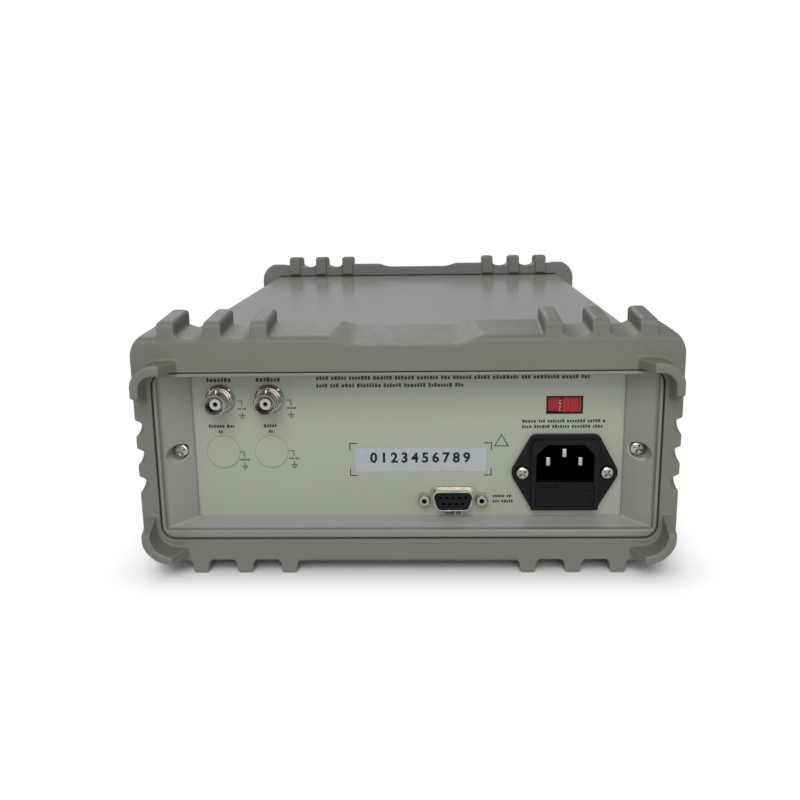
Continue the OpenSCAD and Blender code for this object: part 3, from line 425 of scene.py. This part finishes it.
# ------------------------------------------------------------------ printed marks
class Print:
    """Thin closed slabs on a panel. u runs to the reader's right, z up; side 'rear' or 'front'."""
    def __init__(self, side, y, thick=0.03):
        self.bm = bmesh.new()
        self.s = -1 if side == "rear" else 1
        self.y = y
        self.d = (1 if side == "rear" else -1) * thick * MM

    def poly(self, pts):
        a = [self.bm.verts.new((self.s * u * MM, self.y, z * MM)) for u, z in pts]
        b = [self.bm.verts.new((self.s * u * MM, self.y + self.d, z * MM)) for u, z in pts]
        n = len(pts)
        self.bm.faces.new(a[::-1])
        self.bm.faces.new(b)
        for i in range(n):
            j = (i + 1) % n
            self.bm.faces.new((a[i], a[j], b[j], b[i]))

    def bar(self, u0, z0, u1, z1):
        self.poly([(u0, z0), (u1, z0), (u1, z1), (u0, z1)])

    def line(self, p, q, w):
        d = Vector((q[0] - p[0], q[1] - p[1]))
        n = Vector((-d.y, d.x)).normalized() * w / 2
        e = d.normalized() * w / 2
        p, q = Vector(p) - e, Vector(q) + e
        self.poly([tuple(p - n), tuple(q - n), tuple(q + n), tuple(p + n)])

    def words(self, u0, u1, z, h, seed, gap=0.35):
        """A run of plain dashes in word-like groups: no letters."""
        r = random.Random(seed)
        u = u0
        while u < u1 - h * 0.5:
            for i in range(r.randint(3, 8)):
                w = h * r.uniform(0.42, 0.72)
                if u + w > u1:
                    break
                k = h * r.choice([0.78, 0.78, 1.0, 0.92])
                self.bar(u, z - h / 2, u + w, z - h / 2 + k)
                u += w + h * gap * 0.62
            u += h * 0.55

    def ring(self, u, z, r0, r1, n=32):
        for i in range(n):
            a, b = 2 * math.pi * i / n, 2 * math.pi * (i + 1) / n
            self.poly([(u + r0 * math.cos(a), z + r0 * math.sin(a)), (u + r1 * math.cos(a), z + r1 * math.sin(a)),
                       (u + r1 * math.cos(b), z + r1 * math.sin(b)), (u + r0 * math.cos(b), z + r0 * math.sin(b))])

    def done(self, name, mat, body="case"):
        bmesh.ops.recalc_face_normals(self.bm, faces=self.bm.faces)
        me = bpy.data.meshes.new(name)
        self.bm.to_mesh(me)
        self.bm.free()
        return mesh_obj(name, me, mat, body)


def digits(name, text, size, u, z, y, side, mat, body, thick=0.03, align="CENTER", space=1.0, bold=0.0):
    c = bpy.data.curves.new(name + "_c", "FONT")
    c.body = text
    c.size = size * MM
    c.extrude = thick * MM / 2
    c.align_x = align
    c.align_y = "CENTER"
    c.space_character = space
    c.resolution_u = 3
    c.offset = bold * MM
    t = bpy.data.objects.new(name + "_t", c)
    bpy.context.scene.collection.objects.link(t)
    bpy.context.view_layer.update()
    me = bpy.data.meshes.new_from_object(t.evaluated_get(bpy.context.evaluated_depsgraph_get()))
    bpy.data.objects.remove(t)
    s = -1 if side == "rear" else 1
    out = 1 if side == "rear" else -1
    me.transform(Matrix(((s, 0, 0, s * u * MM), (0, 0, out, y + out * thick * MM / 2), (0, 1, 0, z * MM), (0, 0, 0, 1))))
    me.name = name
    bm = bmesh.new()
    bm.from_mesh(me)
    bmesh.ops.remove_doubles(bm, verts=bm.verts, dist=1e-7)
    bmesh.ops.recalc_face_normals(bm, faces=bm.faces)
    bm.to_mesh(me)
    bm.free()
    return mesh_obj(name, me, mat, body)


# rear panel: dashes stand where the real one has lettering
p = Print("rear", RP)
p.words(-39, 78.5, 80.9, 1.7, 3)
p.words(-39, 25, 77.6, 1.7, 4)
p.words(-86.2, -75.0, 80.4, 1.9, 5)
p.words(-64.9, -53.9, 80.4, 1.9, 6)
p.words(49.2, 84.8, 61.5, 1.45, 7)
p.words(49.2, 84.8, 59.1, 1.45, 8)
p.words(-86.4, -75.2, 60.0, 1.5, 9)
p.words(-82.2, -79.6, 57.5, 1.4, 10)
p.words(-62.4, -56.0, 60.1, 1.5, 11)
p.words(-60.3, -57.9, 57.6, 1.4, 12)
p.words(36.9, 45.6, 27.9, 1.35, 13)
p.words(36.9, 45.6, 25.4, 1.35, 14)
p.words(15.9, 23.1, 20.1, 1.45, 15)
for u, z in ((-73.4, 71.1), (-52.1, 71.4), (-73.4, 48.3), (-51.7, 48.8)):
    p.line((u, z), (u + 1.9, z), 0.32)
    p.line((u + 1.9, z), (u + 1.9, z - 2.3), 0.32)
    p.words(u - 0.1, u + 4.3, z - 3.5, 0.75, int(u * 7 + z) + 100)
    g = u + 1.9
    p.line((g, z - 4.9), (g, z - 6.3), 0.32)
    p.line((g - 1.25, z - 6.4), (g + 1.25, z - 6.4), 0.36)
    p.line((g - 0.8, z - 7.1), (g + 0.8, z - 7.1), 0.34)
    p.line((g - 0.35, z - 7.8), (g + 0.35, z - 7.8), 0.34)
# plain triangle outline
p.line((37.5, 50.5), (43.3, 50.5), 0.4)
p.line((43.3, 50.5), (40.4, 55.5), 0.4)
p.line((40.4, 55.5), (37.5, 50.5), 0.4)
p.done("rear_panel_print", INK)
p = Print("rear", RP)
for su, sz in ((-1, -1), (-1, 1), (1, -1), (1, 1)):
    cu, cz = 5.4 + su * 30.7, 44.65 + sz * 7.25
    p.line((cu, cz), (cu - su * 2.9, cz), 0.42)
    p.line((cu, cz), (cu, cz - sz * 2.9), 0.42)
p.done("label_corner_print", INK)
digits("label_number", "0123456789", 6.2, 5.2, 45.2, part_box("serial_label")[1].y, "rear", INKB, "case", space=1.45, bold=0.2)

sb0, sb1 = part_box("voltage_slider")
p = Print("rear", RP - 0.0027, 0.04)
for i in range(4):
    z = (sb0.z + sb1.z) / 2 / MM + 2.2 - i * 1.45
    p.bar(65.2, z - 0.95, 66.5, z - 0.65)
    p.bar(65.2 if i % 2 else 66.2, z - 0.65, 65.5 if i % 2 else 66.5, z)
p.done("selector_mark", INKW, "voltage_slider")

# front panel: frame lines, lamps and key digits
wb0, wb1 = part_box("display_window")
p = Print("front", FP)
u0, u1, z0, z1 = wb0.x / MM - 3, wb1.x / MM + 3, wb0.z / MM - 2.6, wb1.z / MM + 2.6
for a, b in (((u0, z0), (u1, z0)), ((u1, z0), (u1, z1)), ((u1, z1), (u0, z1)), ((u0, z1), (u0, z0))):
    p.line(a, b, 0.5)
for i, s in enumerate(SOFTS):
    b0, b1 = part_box(s)
    p.words(b0.x / MM + 2.6, b1.x / MM - 1.4, b0.z / MM - 1.3, 1.2, 40 + i)
for i, (u, w) in enumerate(((56, 9), (80, 9), (68, 12))):
    z = 37.6 if i < 2 else 80.6
    p.words(u - w / 2, u + w / 2, z, 1.4, 60 + i)
p.words(-69.5, -60, 26.2, 1.5, 70)
p.line((49, 40.4), (87, 40.4), 0.3)
p.ring(56, 28, 8.4, 8.8, 48)
p.ring(80, 28, 8.4, 8.8, 48)
for i in range(25):
    a = math.radians(-130 + i * 260 / 24)
    r0, r1 = 18.2, 19.6 if i % 6 else 20.4
    if 80.6 - 60 < 0:
        pass
    p.line((68 + r0 * math.sin(a), 60 + r0 * math.cos(a)), (68 + r1 * math.sin(a), 60 + r1 * math.cos(a)), 0.32)
p.done("front_panel_print", INK)
LEG = {"key_point": ".", "key_sign": "-"}
for k in KEYS:
    b0, b1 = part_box(k)
    c = (b0 + b1) / 2
    digits(k + "_legend", LEG.get(k, k[-1]), 5.2, c.x / MM, c.z / MM + (1.6 if k == "key_point" else 0.15), b0.y + 0.00017, "front", INK, k, thick=0.12)
for s in SOFTS:
    b0, b1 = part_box(s)
    c = (b0 + b1) / 2
    q = Print("front", b0.y + 0.00014, 0.1)
    q.line((c.x / MM - 2.2, c.z / MM), (c.x / MM + 2.2, c.z / MM), 0.5)
    q.done(s + "_legend", INKW, s)

# what the display shows
zc, uc = (wb0.z + wb1.z) / 2 / MM, (wb0.x + wb1.x) / 2 / MM
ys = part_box("display_window")[1].y + 0.0009
p = Print("front", ys, 0.2)
p.bar(uc - 37.8, zc - 13.8, uc + 37.8, zc + 13.8)
p.done("display_screen", SCREEN)
ys2 = ys - 0.00022
p = Print("front", ys2, 0.05)
N = 120
pts = [(uc - 35 + 30 * i / N, zc - 3.2 + 7 * math.sin(4 * math.pi * i / N)) for i in range(N + 1)]
for a, b in zip(pts, pts[1:]):
    p.line(a, b, 0.42)
p.done("display_wave", TRACE)
digits("display_value", "1.000 000 0", 8.2, uc + 15.5, zc + 4.6, ys2, "front", TRACE, "case", thick=0.05)
p = Print("front", ys2, 0.05)
p.line((uc - 36.5, zc - 3.2), (uc - 3.5, zc - 3.2), 0.16)
p.line((uc - 35, zc - 12.2), (uc - 35, zc + 6.5), 0.16)
for i in range(5):
    p.bar(uc - 36 + i * 14.8, zc - 13.2, uc - 24 + i * 14.8, zc - 12.0)
p.words(uc - 35, uc - 14, zc + 10.6, 1.8, 81)
p.words(uc + 0.5, uc + 30, zc - 3.2, 1.8, 82)
p.words(uc + 0.5, uc + 24, zc - 7.2, 1.8, 83)
p.done("display_marks", TRACE2)
# the serial port's cutout is closed around its shell by a thin plate, level with the panel
def surround(name, cx, cz, w, h, dw, dh, y0, y1, mat, body):
    def dee(a):
        # radius of a rounded D at angle a, wide side up
        best = 0.0
        ca, sa = math.cos(a), math.sin(a)
        lo, hi = 0.0, 20.0
        for _ in range(40):
            r = (lo + hi) / 2
            x, z = abs(r * ca), r * sa
            half = dw / 2 - (dh / 2 - z) * 0.176
            inside = abs(z) <= dh / 2 and x <= half
            rc = 2.2
            ccx, ccz = half - rc, dh / 2 - rc
            if inside and x > ccx and abs(z) > ccz:
                inside = (x - ccx) ** 2 + (abs(z) - ccz) ** 2 <= rc * rc
            lo, hi = (r, hi) if inside else (lo, r)
        return lo
    angs = sorted(set([2 * math.pi * i / 64 for i in range(64)] + [math.atan2(sz * h, sx * w) % (2 * math.pi) for sx in (-1, 1) for sz in (-1, 1)]))
    bm = bmesh.new()
    rings = []
    for y in (y0, y1):
        inner, outer = [], []
        for a in angs:
            ca, sa = math.cos(a), math.sin(a)
            ri = dee(a)
            ro = min(w / 2 / max(abs(ca), 1e-6), h / 2 / max(abs(sa), 1e-6))
            inner.append(bm.verts.new(((cx + ri * ca) * MM, y, (cz + ri * sa) * MM)))
            outer.append(bm.verts.new(((cx + ro * ca) * MM, y, (cz + ro * sa) * MM)))
        rings.append((inner, outer))
    n = len(angs)
    (i0, o0), (i1, o1) = rings
    for k in range(n):
        j = (k + 1) % n
        bm.faces.new((i0[k], i0[j], o0[j], o0[k]))
        bm.faces.new((i1[j], i1[k], o1[k], o1[j]))
        bm.faces.new((i0[j], i0[k], i1[k], i1[j]))
        bm.faces.new((o0[k], o0[j], o1[j], o1[k]))
    bmesh.ops.recalc_face_normals(bm, faces=bm.faces)
    me_ = bpy.data.meshes.new(name)
    bm.to_mesh(me_)
    bm.free()
    return mesh_obj(name, me_, mat, body)


sh0, sh1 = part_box("de9_shell")
surround("serial_port_surround", (sh0.x + sh1.x) / 2 / MM, (sh0.z + sh1.z) / 2 / MM, 19.56, 10.76, 17.5, 9.0, RP - 0.0009, RP - 0.00003, PANEL, "case")

kb0, kb1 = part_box("knob")
kc = (kb0 + kb1) / 2

# ------------------------------------------------------------------ stage, light and camera
def area(name, loc, target, size, power, col=(1, 1, 1), size_y=None):
    l = bpy.data.lights.new(name, "AREA")
    l.energy = power
    l.color = col
    l.shape = "RECTANGLE"
    l.size = size
    l.size_y = size_y or size
    o = bpy.data.objects.new(name, l)
    o.location = loc
    o.rotation_euler = (Vector(target) - Vector(loc)).to_track_quat("-Z", "Y").to_euler()
    bpy.context.scene.collection.objects.link(o)


bm = bmesh.new()
S = 6.0
vs = [bm.verts.new((x, y, 0)) for y in (-S, S) for x in (-S, S)]
bm.faces.new((vs[0], vs[1], vs[3], vs[2]))
me = bpy.data.meshes.new("floor")
bm.to_mesh(me)
bm.free()
floor = bpy.data.objects.new("floor", me)
bpy.context.scene.collection.objects.link(floor)
fm = Mat("floor_pale")
fm.set(Base_Color=fm.ramp(fm.noise(3, 2), [(0.3, (0.87, 0.87, 0.87, 1)), (0.7, (0.89, 0.89, 0.89, 1))]), Roughness=0.6)
ab = fm.n("ShaderNodeVectorMath", operation="ABSOLUTE")
fm.link(fm.co, ab.inputs[0])
sb = fm.n("ShaderNodeVectorMath", operation="SUBTRACT")
fm.link(ab.outputs[0], sb.inputs[0])
sb.inputs[1].default_value = (0.100, 0.168, 1.0)      # the footprint's half sides
mxv = fm.n("ShaderNodeVectorMath", operation="MAXIMUM")
fm.link(sb.outputs[0], mxv.inputs[0])
mxv.inputs[1].default_value = (0, 0, 0)
ln = fm.n("ShaderNodeVectorMath", operation="LENGTH")
fm.link(mxv.outputs[0], ln.inputs[0])
mr = fm.n("ShaderNodeMapRange", interpolation_type="SMOOTHSTEP")
mr.inputs["From Min"].default_value = 0.0
mr.inputs["From Max"].default_value = 0.035
fm.link(ln.outputs["Value"], mr.inputs["Value"])
em = fm.n("ShaderNodeEmission")
fp_ = fm.n("ShaderNodeLightPath")
es = fm.n("ShaderNodeMapRange")
es.inputs["To Min"].default_value = 0.58
es.inputs["To Max"].default_value = 1.0
fm.link(fp_.outputs["Is Camera Ray"], es.inputs["Value"])
fm.link(es.outputs["Result"], em.inputs["Strength"])
mx = fm.n("ShaderNodeMixShader")
fm.link(mr.outputs["Result"], mx.inputs[0])
fm.link(fm.b.outputs[0], mx.inputs[1])
fm.link(em.outputs[0], mx.inputs[2])
fm.link(mx.outputs[0], fm.nt.nodes["Material Output"].inputs["Surface"])
me.materials.append(fm.m)

world = bpy.data.worlds.new("w")
bpy.context.scene.world = world
world.use_nodes = True
nt = world.node_tree
bg = nt.nodes["Background"]
bg.inputs["Color"].default_value = (1, 1, 1, 1)
bg.inputs["Strength"].default_value = 1.0
bg2 = nt.nodes.new("ShaderNodeBackground")
tc = nt.nodes.new("ShaderNodeTexCoord")
sep = nt.nodes.new("ShaderNodeSeparateXYZ")
nt.links.new(tc.outputs["Generated"], sep.inputs[0])
wr = nt.nodes.new("ShaderNodeValToRGB")
wr.color_ramp.elements[0].position = 0.0
wr.color_ramp.elements[0].color = (0.38, 0.38, 0.38, 1)
wr.color_ramp.elements[1].position = 1.0
wr.color_ramp.elements[1].color = (0.44, 0.44, 0.445, 1)
nt.links.new(sep.outputs["Z"], wr.inputs["Fac"])
nt.links.new(wr.outputs["Color"], bg2.inputs["Color"])
bg2.inputs["Strength"].default_value = 1.0
lp = nt.nodes.new("ShaderNodeLightPath")
wm = nt.nodes.new("ShaderNodeMixShader")
nt.links.new(lp.outputs["Is Camera Ray"], wm.inputs[0])
nt.links.new(bg2.outputs[0], wm.inputs[1])
nt.links.new(bg.outputs[0], wm.inputs[2])
nt.links.new(wm.outputs[0], nt.nodes["World Output"].inputs["Surface"])
area("key", (0.12, 1.35, 1.00), (0, 0.12, 0.05), 0.85, 12.5)
area("fill", (-0.35, 1.50, 0.14), (0, 0.12, 0.05), 0.8, 5.5)
area("back", (0.3, -1.2, 1.1), (0, -0.1, 0.05), 0.9, 7)

cam = bpy.data.cameras.new("cam")
co = bpy.data.objects.new("cam", cam)
bpy.context.scene.collection.objects.link(co)
psi, th, rho = math.radians(1.72), math.radians(14.16), math.radians(-0.72)
fwd = Vector((math.sin(psi) * math.cos(th), -math.cos(psi) * math.cos(th), -math.sin(th)))
right0 = Vector((-math.cos(psi), -math.sin(psi), 0))
up0 = right0.cross(fwd)
right = math.cos(rho) * right0 + math.sin(rho) * up0
up = -math.sin(rho) * right0 + math.cos(rho) * up0
co.matrix_world = Matrix(((right.x, up.x, -fwd.x, -0.0110), (right.y, up.y, -fwd.y, 0.5626), (right.z, up.z, -fwd.z, 0.1614), (0, 0, 0, 1)))
cam.lens = 43.74
cam.sensor_width = 36
cam.shift_x = -0.00625
cam.shift_y = 0.035
cam.clip_start = 0.01
cam.clip_end = 50
bpy.context.scene.camera = co
vs_ = bpy.context.scene.view_settings
vs_.view_transform = "Standard"
vs_.look = "None"
vs_.exposure = 0.0
